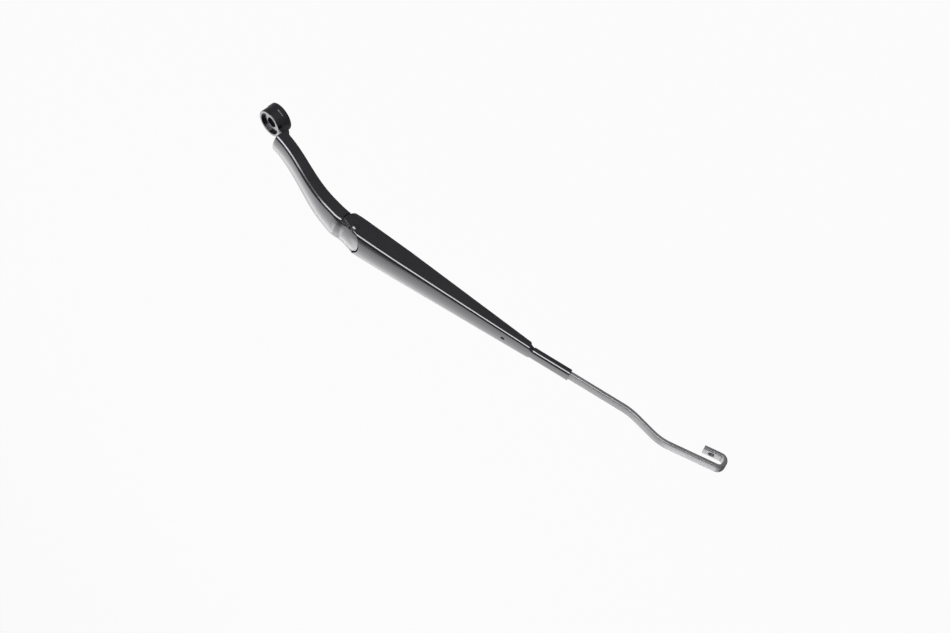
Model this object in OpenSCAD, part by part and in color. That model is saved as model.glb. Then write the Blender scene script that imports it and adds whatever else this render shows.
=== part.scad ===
// Windscreen wiper arm of the hook type, in millimetres.
// A die-cast head bolts to the wiper spindle. A pressed channel hinges on it and
// carries a flat rod that ends in a hook for the blade. A coil spring inside the
// channel pulls on a C-shaped link and so presses the blade on the glass.
// The origin is on the spindle axis, on the seat of the spindle nut. +Z leaves
// the car, +X runs along the arm towards the blade, and the arm is symmetric in Y.

/* [Boss] */
// Outside diameter of the boss
boss_d = 22.5; // [21.5:0.1:24]
// Diameter of the recess round the spindle nut
recess_d = 18.2; // [16:0.1:19]
// Depth of the nut recess below the rim
recess_depth = 2.3; // [1.5:0.1:4]
// Metal under the nut seat
seat_t = 9.7; // [8:0.1:12]
// Clearance hole for the threaded end of the spindle
stud_hole_d = 8.4; // [8.2:0.1:9]
// Length of the straight part of the spindle hole
stud_hole_len = 3; // [2:0.1:4]
// Small end of the tapered seat under it
taper_small_d = 9.4; // [9.2:0.1:10]
// Mouth of the tapered seat
taper_mouth_d = 10.8; // [10.4:0.1:12]
// Diameter of the collar round the foot of the boss
collar_d = 23.4; // [22.8:0.1:25]
// Height of the collar
collar_h = 4.5; // [2:0.1:6]
// Chamfer between the boss and its collar
collar_chamfer = 0.4; // [0.2:0.05:0.5]

/* [Head] */
// Distance from the spindle axis to the end face of the body
body_start = 14.5; // [13:0.1:17]
// Width of the body next to the boss
neck_w = 19.4; // [17:0.1:20]
// Height of the body's top edges above the nut seat at the neck
neck_top = 10.2; // [8:0.1:13]
// Height of the body's side walls at the neck
neck_wall_h = 9.7; // [8:0.1:11]
// Height of the side walls at the hinge
mouth_wall_h = 10.9; // [10:0.1:12]
// How far the top climbs from the neck to the crest
head_rise = 9.7; // [6:0.1:12]
// Where the climb begins
rise_start = 18; // [15:1:24]
// Where the climb ends
rise_end = 84; // [75:1:86]
// Where the walls' lower edges start to fall towards the hinge
crest_x = 87; // [86:1:92]
// How far the walls' lower edges have fallen at the hinge
foot_drop = 3.1; // [2.6:0.1:3.6]
// How far the top steps down to the roof over the hinge
head_drop = 2.8; // [2.6:0.1:3.2]
// Where the body starts to widen
flare_start = 45; // [30:1:60]
// Where the body has reached the width of the channel
flare_end = 102; // [95:1:104]
// Radius of the body's upper edges
head_edge_r = 3; // [2:0.1:4]
// Angle of the crowned top at its edges
head_crown = 15; // [8:1:18]
// Thickness of the cast walls
head_wall = 2.4; // [2:0.1:3]
// Thickness of the end wall behind the boss
end_wall = 3; // [2:0.1:4]
// Thickness of the two cross ribs in the hollow
rib_t = 2; // [1.5:0.1:3]

/* [Hinge] */
// Distance of the hinge axis from the spindle axis
pivot_x = 109.7; // [108:0.1:112]
// Height of the hinge axis above the nut seat
pivot_z = 12.2; // [11.8:0.1:12.6]
// Slope of the channel below the nut seat's plane, in degrees
arm_pitch = 18.5; // [17:0.5:20]
// Diameter of the rivet's shank
rivet_d = 5; // [4:0.1:5.4]
// Diameter of the rivet's heads
rivet_head_d = 6.6; // [6:0.1:7]
// Height of the rivet's heads
rivet_head_h = 0.9; // [0.6:0.1:1.4]
// Wall of the bushes
bush_wall = 1.1; // [0.8:0.1:1.5]
// Thickness of the bushes' flanges
flange_t = 0.8; // [0.5:0.1:1.2]
// Diameter of the bushes' flanges
flange_d = 8.6; // [8.4:0.1:9.4]
// Radius of the tongue's round end
tongue_r = 8.8; // [8:0.1:9]
// Thickness of the tongue's two cheeks
cheek_t = 3.4; // [3:0.1:4]
// Radial running clearance of a turning fit
running_play = 0.05; // [0.02:0.01:0.08]
// Gap left where two parts of one assembly sit together
seat_play = 0.02; // [0.01:0.01:0.03]
// Side gap between a flange and the channel
side_play = 0.1; // [0.05:0.05:0.2]
// How far the head's roof reaches beyond the hinge axis
nose_x = 9; // [8:0.1:9.4]
// Radius of the roof's end in plan
nose_r = 18.4; // [17:0.1:24]
// Gap between the roof's end and the channel's front edge
nose_gap = 0.4; // [0.3:0.1:0.8]

/* [Channel] */
// Outside width of the channel at the hinge
channel_w = 28; // [27:0.1:30]
// Outside width of the channel where its side walls end
channel_tip_w = 14.8; // [13:0.1:16]
// Thickness of the pressed sheet
sheet_t = 1.2; // [1:0.05:1.3]
// Distance from the hinge axis up to the channel's back
channel_top = 8.75; // [8.5:0.05:9.2]
// How far the back droops at its front edge
front_droop = 0.8; // [0.2:0.1:1]
// Depth of the side walls below the hinge axis at the front
skirt_front = 9.4; // [9:0.1:11]
// Depth of the side walls where they start to taper
skirt_mid = 6.6; // [6:0.1:8]
// Height of the side walls' lower edge above the hinge axis where they end
skirt_end = 2.8; // [2:0.1:3.4]
// Distance from the hinge axis to the front edge of the back, at its sides
back_start = 4.6; // [4.2:0.1:6]
// Distance from the hinge axis to the start of the taper in depth
skirt_kink = 45; // [35:1:60]
// Distance from the hinge axis to the end of the side walls
wall_end = 157; // [150:1:170]
// Radius of the lobes round the hinge
lobe_r = 10.9; // [10:0.1:11]
// Edge radius at the hinge
edge_r_front = 2.5; // [2.2:0.1:4]
// Edge radius where the side walls end
edge_r_tip = 2; // [1.8:0.1:2.6]
// Angle of the crowned back at its edges, at the hinge
back_crown = 13; // [6:1:15]
// Length of the stretch crimped round the rod
crimp_len = 32; // [24:1:40]
// Distance from the hinge axis to the stake that pins the rod
stake_x = 136; // [125:1:145]
// Diameter of the stake's nub
stake_d = 3.2; // [2.8:0.1:3.6]

/* [Rod] */
// Width of the flat rod
rod_w = 9; // [8.8:0.1:9.2]
// Thickness of the flat rod
rod_t = 3; // [2.8:0.1:3.2]
// Radius of the rod's long edges
rod_edge_r = 1; // [0.5:0.1:1.2]
// Distance from the hinge axis to the rod's inner end
rod_start = 97.8; // [97:0.1:99]
// How far the inner end is joggled down from the channel's back
joggle_drop = 3.6; // [3:0.1:4]
// Distance from the hinge axis to the first bend beyond the channel
bend_up_x = 245; // [235:1:260]
// Angle of that bend, in degrees
bend_up = 15.5; // [10:0.5:20]
// Radius of that bend
bend_up_r = 50; // [30:1:60]
// Distance between the two bends
bend_gap = 31; // [28:1:40]
// Angle of the second bend, in degrees
bend_down = 22.7; // [15:0.1:28]
// Radius of the second bend
bend_down_r = 40; // [30:1:50]
// Distance from the second bend to the outside of the hook
tip_len = 51.8; // [45:0.1:60]

/* [Hook] */
// Outside height of the hook
hook_h = 12.9; // [12:0.1:14]
// Length of the hook from its outside to the end of its free leg
hook_len = 20; // [18:0.1:24]
// Diameter of the locating hole in the free leg
hook_hole_d = 5; // [4:0.1:5.5]
// Distance of that hole from the leg's end
hook_hole_inset = 6.8; // [4.5:0.1:7.6]

/* [Spring] */
// Outside diameter of the spring
spring_od = 7.5; // [7:0.1:7.8]
// Wire diameter
wire_d = 1.7; // [1.5:0.1:1.8]
// Number of turns
turns = 27; // [20:1:30]
// Radius of the hook loops at both ends, along the wire's middle
loop_r = 3.2; // [3.1:0.05:3.3]
// Distance from the hinge axis to the anchor pin
anchor_r = 8.5; // [8.3:0.1:9]
// How far the arm lifts, in degrees
lift = 45; // [35:1:46]
// Diameter of the anchor pin
anchor_d = 3; // [2.6:0.1:3.2]
// Length of the link between its two eyes
link_len = 24; // [23:0.5:26]
// Depth of the link's bow below its eyes
link_bow = 9.6; // [9:0.1:10]
// Width of the link's bow
link_w = 2.6; // [2:0.1:3]
// Thickness of the link
link_t = 2.4; // [2:0.1:2.4]

/* [Hidden] */
$fn = 48;
// A size larger than the whole arm's section, for cuts that go right through
through = 80;
// Steps of the lofted surfaces: along the length, round an edge and across the top
head_step = 5;
channel_step = 12;
edge_steps = 5;
crown_steps = 8;

// Where two shapes of one casting or pressing join, one lies this far inside the other
hair = 0.05;

// Widths that follow from each other through the hinge. The bushes' flanges seat in
// shallow counterbores of the cheeks, tongue_w apart, and stand a little proud of them.
mouth_w = channel_w;
tongue_w = channel_w - 2 * (sheet_t + side_play + flange_t);
tongue_gap = tongue_w - 2 * cheek_t;
cheek_w = channel_w - 2 * (sheet_t + 2 * side_play);
lobe_gap = 0.8;
flange_room = 0.3;
// The step down to the roof, and how the roof falls and bends beyond it
step_start = 93;
step_end = 106;
roof_fall = 0.05;
roof_bend = 0.006;
roof_z = 1.5;
// The channel's front edge swings round a barrel, and the roof stays inside that barrel
barrel_r = 11.2;
barrel_bow = 18.8;
bush_d = rivet_d + 2 * (running_play + bush_wall);

// The cast body: the web between boss and body, the walls' foot there, the cheeks and ribs
web_half = 5;
web_fillet = 3;
web_foot_start = -8.4;
web_foot_end = -3.4;
web_end = 20;
web_drop = 3.9;
cheek_drop = 1.6;
rib_places = [38, 62];
rib_lift = 4;
rib_draft = 0.3;

// The pressing: lips of the lobes, the end of the side walls and the seam to the crimp
lobe_lip_front = -0.5;
lobe_lip_back = 5.7;
tip_crown = 5;
flat_crown = 1;
wall_corner_r = 1.5;
notch_len = 1.5;
seam_lap = 1;
seam_gap = 0.8;
// Past the side walls the pressing's section shrinks into the middle of the crimp's wall
seam_inset = 0.2;
stake_depth = 1.2;
dimple_r = 2.2;

// Small sizes of the link and the wire
eye_wall = 1.6;
spring_eye_d = 2.5;
spring_eye_wall = 1.45;
wire_sides = 6;

// The rod lies close under the channel's back
rod_play = 0.1;
crimp_play = 0.05;
rod_z = channel_top - sheet_t - rod_play - rod_t / 2;
rod_inner_len = 9.2;
joggle = 25;
joggle_r = 6;
bend_lap = 0.3;
crimp_start = wall_end + 3.5;
crimp_end = crimp_start + crimp_len;
crimp_w = rod_w + 2 * (crimp_play + sheet_t);
crimp_h = rod_t + 2 * (crimp_play + sheet_t);
crimp_edge_r = rod_edge_r + crimp_play + sheet_t;
crimp_top = rod_z + crimp_h / 2;
notch_z = rod_z - rod_t / 2 + 0.3;

// The spring hooks through the rod's inner end, on this point of the arm
spring_hole_d = 4;
spring_hole_edge = 3;
bearing_gap = 1.35;
spring_x = rod_start + spring_hole_edge + bearing_gap;
spring_z = rod_z - joggle_drop;
// The anchor pin lies half the lift past the line from the spring to the hinge,
// so that the spring is as long with the arm down as with the arm up.
anchor_dir = 180 + atan2(spring_z, spring_x) + lift / 2;
anchor = [anchor_r * cos(anchor_dir), anchor_r * sin(anchor_dir)];
link_dir = atan2(spring_z - anchor[1], spring_x - anchor[0]);
spring_reach = norm([spring_x - anchor[0], spring_z - anchor[1]]);

function smooth(t) = let (u = min(1, max(0, t))) u * u * (3 - 2 * u);
function mix(a, b, t) = a + (b - a) * t;
function ramp(x, x0, x1) = min(1, max(0, (x - x0) / (x1 - x0)));

// Height of the crown's middle above the level of the rounded edges.
function crown_rise(half_w, edge_r, crown) =
  (half_w - edge_r + edge_r * sin(crown)) * tan(crown / 2) - edge_r * (1 - cos(crown));

// Crowned section with rounded upper edges, from the foot of the wall on +Y over the
// top to the foot on -Y. The edges reach up to the height edge. Each point is [y, z].
function crowned(half_w, edge_r, crown, edge, foot) =
  let (
    contact = half_w - edge_r + edge_r * sin(crown),
    big_r = contact / sin(crown),
    top = edge + crown_rise(half_w, edge_r, crown),
    side = [for (i = [0:edge_steps]) let (a = mix(90, crown, i / edge_steps))
      [half_w - edge_r + edge_r * sin(a), edge - edge_r + edge_r * cos(a)]],
    back = [for (i = [1:crown_steps - 1]) let (a = mix(crown, -crown, i / crown_steps))
      [big_r * sin(a), top - big_r * (1 - cos(a))]]
  )
  concat([[half_w, foot]], side, back,
    [for (i = [edge_steps:-1:0]) [-side[i][0], side[i][1]]], [[-half_w, foot]]);

function reversed(list) = [for (i = [len(list) - 1:-1:0]) list[i]];

// Closed skin through rings of equally many points, one ring at each x of xs.
module skin(xs, rings) {
  n = len(rings[0]);
  m = len(xs);
  points = [for (i = [0:m - 1]) for (p = rings[i]) [xs[i], p[0], p[1]]];
  walls = [for (i = [0:m - 2]) for (j = [0:n - 1])
    let (a = i * n + j, b = i * n + (j + 1) % n) each [[a, a + n, b], [b, a + n, b + n]]];
  first = [for (j = [0:n - 1]) j];
  last = [for (j = [n - 1:-1:0]) (m - 1) * n + j];
  polyhedron(points = points, faces = concat([first, last], walls), convexity = 6);
}

// Flat section with rounded corners, centred.
module rounded(w, h, r) {
  square([w - 2 * r, h], center = true);
  square([w, h - 2 * r], center = true);
  for (x = [-1, 1], y = [-1, 1])
    translate([x * (w / 2 - r), y * (h / 2 - r)])
      circle(r = r);
}

// The frame of the channel: origin on the hinge axis, X along the channel.
module on_arm() {
  translate([pivot_x, 0, pivot_z])
    rotate([0, arm_pitch, 0])
      children();
}

// The frame of the link and the spring: origin on the anchor pin, X along the spring.
module on_link() {
  on_arm()
    translate([anchor[0], 0, anchor[1]])
      rotate([0, -link_dir, 0])
        children();
}

// A cylinder along Y, centred on Y = 0.
module cross_cylinder(d, len) {
  rotate([90, 0, 0])
    cylinder(d = d, h = len, center = true);
}

// Head
function head_half(x) = mix(neck_w, mouth_w, smooth(ramp(x, flare_start, flare_end))) / 2;
function head_line(x) = neck_top + head_rise * smooth(ramp(x, rise_start, rise_end));
function head_edge(x) = let (past = max(0, x - step_end))
  head_line(x) - head_drop * smooth(ramp(x, step_start, step_end)) - past * (roof_fall + roof_bend * past);
function head_foot(x) =
  head_line(x) - mix(neck_wall_h, mouth_wall_h, ramp(x, web_end, rise_end))
  - foot_drop * pow(max(0, x - crest_x) / (pivot_x - crest_x), 2)
  - web_drop * pow(max(0, web_end - x) / (web_end - body_start), 1.3)
  - cheek_drop * smooth(ramp(x, flare_end - 4, flare_end));
function hollow_half(x) =
  mix(head_half(x) - head_wall, tongue_gap / 2, smooth(ramp(x, flare_end - 14, flare_end - 4)));

module head_outside() {
  xs = [for (x = [body_start:head_step:pivot_x + tongue_r + head_step]) x];
  skin(xs, [for (x = xs) crowned(head_half(x), head_edge_r, head_crown, head_edge(x), head_foot(x))]);
}

// Stations of the hollow. Between them its roof comes down to the ribs' lower edges.
hollow_xs = concat(
  [for (x = [body_start + end_wall:head_step:rib_places[0] - head_step / 2]) x],
  [for (i = [0, 1]) let (r = rib_places[i], next = i == 0 ? rib_places[1] : pivot_x + tongue_r + 4 * head_step)
    each concat(
      [r - rib_t / 2 - rib_draft, r - rib_t / 2, r + rib_t / 2, r + rib_t / 2 + rib_draft],
      [for (x = [r + head_step:head_step:next - head_step / 2]) x])]);
function on_rib(x) = min([for (r = rib_places) abs(x - r)]) <= rib_t / 2 + 0.001;
function hollow_roof(x) = on_rib(x) ? head_foot(x) + rib_lift : head_edge(x) - head_wall;

module head_hollow() {
  skin(hollow_xs, [for (x = hollow_xs)
    crowned(hollow_half(x), head_edge_r - head_wall / 2, head_crown, hollow_roof(x), head_foot(x) - head_step)]);
}

module boss() {
  translate([0, 0, -seat_t])
    cylinder(d = boss_d, h = seat_t + recess_depth);
  translate([0, 0, -seat_t])
    cylinder(d = collar_d, h = collar_h - collar_chamfer);
  translate([0, 0, collar_h - collar_chamfer - seat_t])
    cylinder(d1 = collar_d, d2 = collar_d - 2 * collar_chamfer, h = collar_chamfer);
  neck();
}

// The web between the boss and the body: fillets against the boss, a foot that climbs.
module neck() {
  side = web_half + web_fillet;
  centre_x = sqrt(pow(boss_d / 2 + web_fillet, 2) - side * side);
  end_x = body_start + end_wall / 2;
  intersection() {
    translate([0, 0, -seat_t])
      linear_extrude(height = seat_t + recess_depth)
        difference() {
          polygon([[0, 0], [centre_x, side], [centre_x, web_half], [end_x, web_half],
            [end_x, -web_half], [centre_x, -web_half], [centre_x, -side]]);
          for (y = [-side, side])
            translate([centre_x, y])
              circle(r = web_fillet + hair / 2);
        }
    rotate([90, 0, 0])
      linear_extrude(height = through, center = true)
        polygon([[-1, 1 + recess_depth], [end_x + 1, 1 + recess_depth], [end_x + 1, web_foot_end],
          [body_start + 1, web_foot_end], [boss_d / 2 - 3, web_foot_start], [-1, web_foot_start]]);
  }
}

module spindle_hole() {
  cylinder(d = recess_d, h = recess_depth + 1);
  translate([0, 0, -stud_hole_len])
    cylinder(d = stud_hole_d, h = stud_hole_len + 1);
  translate([0, 0, -seat_t])
    cylinder(d1 = taper_mouth_d, d2 = taper_small_d, h = seat_t - stud_hole_len);
}

// Room round the hinge axis that the channel's front edge never enters as it swings.
module barrel() {
  reach = through / 4;
  rotate([90, 0, 0])
    rotate_extrude()
      polygon(concat([[0, -reach]], [for (y = [-12:3:12])
        [barrel_r - barrel_bow + sqrt(barrel_bow * barrel_bow - y * y), y]], [[0, reach]]));
}

// The head's end in plan is an arc. The channel's front edge follows it.
module plan_arc(reach) {
  translate([reach - nose_r, 0, -through])
    cylinder(r = nose_r, h = 2 * through);
}

module arm_head() {
  color([0.07, 0.07, 0.08])
    difference() {
      union() {
        boss();
        difference() {
          head_outside();
          head_hollow();
          // room for the channel's lobes on both sides of the tongue
          for (side = [-1, 1])
            translate([pivot_x, side * (cheek_w + through) / 2, pivot_z])
              cross_cylinder(2 * (lobe_r + lobe_gap), through);
          for (side = [-1, 1])
            translate([pivot_x, side * (tongue_w + through) / 2, pivot_z])
              cross_cylinder(flange_d + 2 * flange_room, through);
          // the cheeks' round end
          translate([pivot_x, 0, pivot_z])
            difference() {
              translate([0, -through / 2, -through])
                cube([through, through, through + roof_z]);
              cross_cylinder(2 * tongue_r, through + 2);
            }
          // the roof's end, clear of the back's front edge as it swings past
          translate([pivot_x, 0, pivot_z])
            difference() {
              translate([0, -through / 2, -through / 2])
                cube(through);
              barrel();
            }
          on_arm()
            difference() {
              translate([0, -through / 2, -through / 2])
                cube(through);
              plan_arc(nose_x);
            }
        }
      }
      spindle_hole();
      translate([pivot_x, 0, pivot_z])
        cross_cylinder(bush_d + 2 * seat_play, through);
      on_arm()
        translate([anchor[0], 0, anchor[1]])
          cross_cylinder(anchor_d + 2 * seat_play, through);
    }
}

// Plain bush in one cheek, its flange between the cheek and the channel.
module pivot_bush(side) {
  color([0.62, 0.5, 0.3])
    translate([pivot_x, 0, pivot_z])
      rotate([-90 * side, 0, 0])
        difference() {
          union() {
            translate([0, 0, tongue_gap / 2])
              cylinder(d = bush_d, h = cheek_t);
            translate([0, 0, tongue_w / 2])
              cylinder(d = flange_d, h = flange_t);
          }
          cylinder(d = rivet_d + 2 * running_play, h = through);
        }
}

module pivot_bush_near() {
  pivot_bush(1);
}

module pivot_bush_far() {
  pivot_bush(-1);
}

module anchor_pin() {
  color([0.55, 0.56, 0.58])
    on_arm()
      translate([anchor[0], 0, anchor[1]])
        cross_cylinder(anchor_d, tongue_w);
}

// Channel
function past_wall(x) = smooth(ramp(x, wall_end, crimp_start));
function channel_half(x) = mix(
  mix(channel_w, channel_tip_w, ramp(x, back_start, wall_end)), crimp_w - 2 * seam_inset, past_wall(x)) / 2;
function channel_edge_r(x) = mix(
  mix(edge_r_front, edge_r_tip, ramp(x, 0, wall_end)), crimp_edge_r - seam_inset, past_wall(x));
function channel_crown(x) = mix(mix(back_crown, tip_crown, ramp(x, 0, wall_end)), flat_crown, past_wall(x));
function channel_edge(x) =
  mix(channel_top - front_droop * pow(1 - ramp(x, 0, skirt_kink), 2), crimp_top - seam_inset, past_wall(x))
  - crown_rise(channel_half(x), channel_edge_r(x), channel_crown(x));
function channel_sheet(x) = sheet_t - 2 * seam_inset * past_wall(x);
function channel_ring(x) = let (
  half_w = channel_half(x),
  edge_r = channel_edge_r(x),
  crown = channel_crown(x),
  edge = channel_edge(x),
  t = channel_sheet(x),
  foot = -skirt_front - sheet_t
) concat(
  crowned(half_w, edge_r, crown, edge, foot),
  reversed(crowned(half_w - t, edge_r - t, crown, edge - t, foot)));

// Side view of the pressing: the lobe round the hinge, the tapering side wall with
// its rounded end, and the back that runs on into the crimp.
module channel_outline() {
  lip = [-lobe_r, lobe_lip_front];
  intersection() {
    circle(r = lobe_r);
    polygon([lip, [back_start, lobe_lip_back], [back_start, -skirt_front], [-lobe_r, -skirt_front]]);
  }
  polygon(concat(
    [[back_start, through], [crimp_start + 2 * seam_lap, through], [crimp_start + 2 * seam_lap, notch_z],
      [wall_end + notch_len, notch_z]],
    [for (a = [0:-15:-90]) [wall_end - wall_corner_r + wall_corner_r * cos(a),
      skirt_end + wall_corner_r + wall_corner_r * sin(a)]],
    [[skirt_kink, -skirt_mid], [0, -skirt_front], [0, 0], [back_start, 0]]));
}

module retainer_channel() {
  xs = concat([-lobe_r - 1, back_start], [for (x = [channel_step:channel_step:wall_end - channel_step / 2]) x],
    [wall_end, mix(wall_end, crimp_start, 0.35), mix(wall_end, crimp_start, 0.7), crimp_start,
      crimp_start + seam_lap]);
  color([0.08, 0.08, 0.09])
    on_arm()
      difference() {
        union() {
          intersection() {
            skin(xs, [for (x = xs) channel_ring(x)]);
            rotate([90, 0, 0])
              linear_extrude(height = through, center = true)
                channel_outline();
          }
          crimp();
          translate([stake_x, 0, rod_z + rod_t / 2 - stake_depth])
            cylinder(d = stake_d, h = stake_depth + rod_play + sheet_t / 2);
        }
        // the front edge, an arc in plan
        intersection() {
          plan_arc(nose_x + nose_gap);
          translate([-through, -channel_w / 2 + sheet_t + hair, 0])
            cube([2 * through, channel_w - 2 * (sheet_t + hair), through]);
        }
        cross_cylinder(rivet_d + 2 * seat_play, through);
        translate([stake_x, 0, channel_top + sheet_t])
          sphere(r = dimple_r);
      }
}

// The stretch that is closed round the rod, with its seam below.
module crimp() {
  translate([crimp_start, 0, rod_z])
    rotate([90, 0, 90])
      linear_extrude(height = crimp_len)
        difference() {
          rounded(crimp_w, crimp_h, crimp_edge_r);
          rounded(rod_w + 2 * crimp_play, rod_t + 2 * crimp_play, rod_edge_r + crimp_play);
          translate([-seam_gap / 2, -crimp_h])
            square([seam_gap, crimp_h]);
        }
}

// Rod: a list of steps, each [length, 0, 0] or [0, angle, radius], walked in the XZ
// plane from a start [x, z, direction]. A positive angle turns upwards.
joggle_run = (joggle_drop - 2 * joggle_r * (1 - cos(joggle))) / sin(joggle);
joggle_end = rod_start + rod_inner_len + 2 * joggle_r * sin(joggle) + joggle_run * cos(joggle);
bend_up_tangent = bend_up_r * tan(bend_up / 2);
bend_down_tangent = bend_down_r * tan(bend_down / 2);
rod_steps = [
  [rod_inner_len, 0, 0],
  [0, joggle, joggle_r],
  [joggle_run, 0, 0],
  [0, -joggle, joggle_r],
  [bend_up_x - bend_up_tangent - joggle_end, 0, 0],
  [0, bend_up, bend_up_r],
  [bend_gap - bend_up_tangent - bend_down_tangent, 0, 0],
  [0, -bend_down, bend_down_r],
  [tip_len - bend_down_tangent - hook_h / 2, 0, 0],
  [0, -180, (hook_h - rod_t) / 2],
  [hook_len - hook_h / 2, 0, 0]
];
function walked(p, s) = s[1] == 0
  ? [p[0] + s[0] * cos(p[2]), p[1] + s[0] * sin(p[2]), p[2]]
  : let (r = sign(s[1]) * s[2], a = p[2] + s[1])
    [p[0] + r * (sin(a) - sin(p[2])), p[1] + r * (cos(p[2]) - cos(a)), a];
function rod_at(n) = n == 0 ? [rod_start, spring_z, 0] : walked(rod_at(n - 1), rod_steps[n - 1]);

// The bends lap a little into the straight stretches and lie a hair inside them.
module rod_piece(s) {
  if (s[1] == 0)
    rotate([90, 0, 90])
      linear_extrude(height = s[0])
        rounded(rod_w, rod_t, rod_edge_r);
  else {
    lap = bend_lap / s[2] * 180 / PI;
    mirror([0, 0, s[1] < 0 ? 1 : 0])
      translate([0, 0, s[2]])
        rotate([90, 90, 0])
          rotate([0, 0, -lap])
            rotate_extrude(angle = abs(s[1]) + 2 * lap, $fn = 96)
              translate([s[2], 0])
                rounded(rod_t - hair, rod_w - hair, rod_edge_r);
  }
}

module hook_rod() {
  leg_end = rod_at(len(rod_steps));
  color([0.45, 0.45, 0.47])
    on_arm()
      difference() {
        union() {
          for (i = [0:len(rod_steps) - 1]) {
            p = rod_at(i);
            translate([p[0], 0, p[1]])
              rotate([0, -p[2], 0])
                rod_piece(rod_steps[i]);
          }
        }
        translate([rod_start + spring_hole_edge + spring_hole_d / 2, 0, spring_z])
          cylinder(d = spring_hole_d, h = 2 * rod_t, center = true);
        translate([stake_x, 0, rod_z])
          cylinder(d = stake_d + 4 * crimp_play, h = 2 * rod_t, center = true);
        translate([leg_end[0], 0, leg_end[1]])
          rotate([0, -leg_end[2], 0])
            translate([-hook_hole_inset, 0, 0])
              cylinder(d = hook_hole_d, h = 2 * rod_t, center = true);
      }
}

// Rivet
module rivet_head() {
  cap_r = (pow(rivet_head_d / 2, 2) + pow(rivet_head_h, 2)) / (2 * rivet_head_h);
  rotate_extrude()
    intersection() {
      translate([0, rivet_head_h - cap_r])
        circle(r = cap_r, $fn = 96);
      square([rivet_head_d / 2, rivet_head_h]);
    }
}

module pivot_rivet() {
  color([0.12, 0.12, 0.13])
    translate([pivot_x, 0, pivot_z]) {
      cross_cylinder(rivet_d, channel_w);
      for (side = [-1, 1])
        rotate([-90 * side, 0, 0])
          translate([0, 0, channel_w / 2])
            rivet_head();
    }
}

// C-shaped link: an eye on the anchor pin, a bow below the rivet, an eye for the spring.
module spring_link() {
  bow_r = (pow(link_len / 2, 2) + pow(link_bow, 2)) / (2 * link_bow);
  color([0.5, 0.51, 0.53])
    on_link()
      rotate([90, 0, 0])
        linear_extrude(height = link_t, center = true)
          difference() {
            union() {
              intersection() {
                translate([link_len / 2, bow_r - link_bow])
                  difference() {
                    circle(r = bow_r + link_w / 2);
                    circle(r = bow_r - link_w / 2);
                  }
                translate([-link_len, -link_len])
                  square([3 * link_len, link_len]);
              }
              circle(d = anchor_d + 2 * eye_wall);
              translate([link_len, 0])
                circle(d = spring_eye_d + 2 * spring_eye_wall);
            }
            circle(d = anchor_d + 2 * running_play);
            translate([link_len, 0])
              circle(d = spring_eye_d);
          }
}

// Spring: each place on the wire is [centre, outward direction].
coil_r = (spring_od - wire_d) / 2;
loop_lead = 4;
first_loop = link_len + loop_r;
last_loop = spring_reach - loop_r;
coil_start = first_loop + loop_lead;
coil_pitch = (last_loop - loop_lead - coil_start) / (turns - 0.25);
turn_steps = 12;
loop_step = 20;
spring_wire = concat(
  [for (a = [330:-loop_step:90]) [[first_loop + loop_r * cos(a), loop_r * sin(a), 0], [cos(a), sin(a), 0]]],
  [for (a = [18:18:72]) let (r = mix(loop_r, coil_r, a / 90))
    [[first_loop + loop_lead * sin(a), r * cos(a), r * sin(a)], [0, cos(a), sin(a)]]],
  [for (i = [0:turn_steps * (turns - 0.25)]) let (a = 90 + i * 360 / turn_steps)
    [[coil_start + coil_pitch * i / turn_steps, coil_r * cos(a), coil_r * sin(a)], [0, cos(a), sin(a)]]],
  [for (a = [18:18:72]) let (r = mix(coil_r, loop_r, a / 90))
    [[last_loop - loop_lead * cos(a), r * cos(a), r * sin(a)], [0, cos(a), sin(a)]]],
  [for (a = [90:-loop_step:-150]) [[last_loop + loop_r * cos(a), 0, loop_r * sin(a)], [cos(a), 0, sin(a)]]]);

module tension_spring() {
  n = len(spring_wire);
  points = [for (i = [0:n - 1]) let (
      along = spring_wire[min(i + 1, n - 1)][0] - spring_wire[max(i - 1, 0)][0],
      t = along / norm(along),
      flat = spring_wire[i][1] - (spring_wire[i][1] * t) * t,
      u = flat / norm(flat),
      v = cross(t, u))
    for (k = [0:wire_sides - 1]) let (a = k * 360 / wire_sides)
      spring_wire[i][0] + wire_d / 2 * (cos(a) * u + sin(a) * v)];
  walls = [for (i = [0:n - 2]) for (k = [0:wire_sides - 1])
    let (a = i * wire_sides + k, b = i * wire_sides + (k + 1) % wire_sides)
      each [[a, a + wire_sides, b], [b, a + wire_sides, b + wire_sides]]];
  first = [for (k = [0:wire_sides - 1]) k];
  last = [for (k = [wire_sides - 1:-1:0]) (n - 1) * wire_sides + k];
  color([0.6, 0.61, 0.63])
    on_link()
      polyhedron(points = points, faces = concat([first, last], walls), convexity = 10);
}

arm_head();
pivot_bush_near();
pivot_bush_far();
anchor_pin();
retainer_channel();
hook_rod();
pivot_rivet();
spring_link();
tension_spring();
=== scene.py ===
from math import acos, asin, atan2, cos, hypot, pi, radians, sin, sqrt, tan

import bmesh
import bpy
from mathutils import Matrix, Vector


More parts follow.
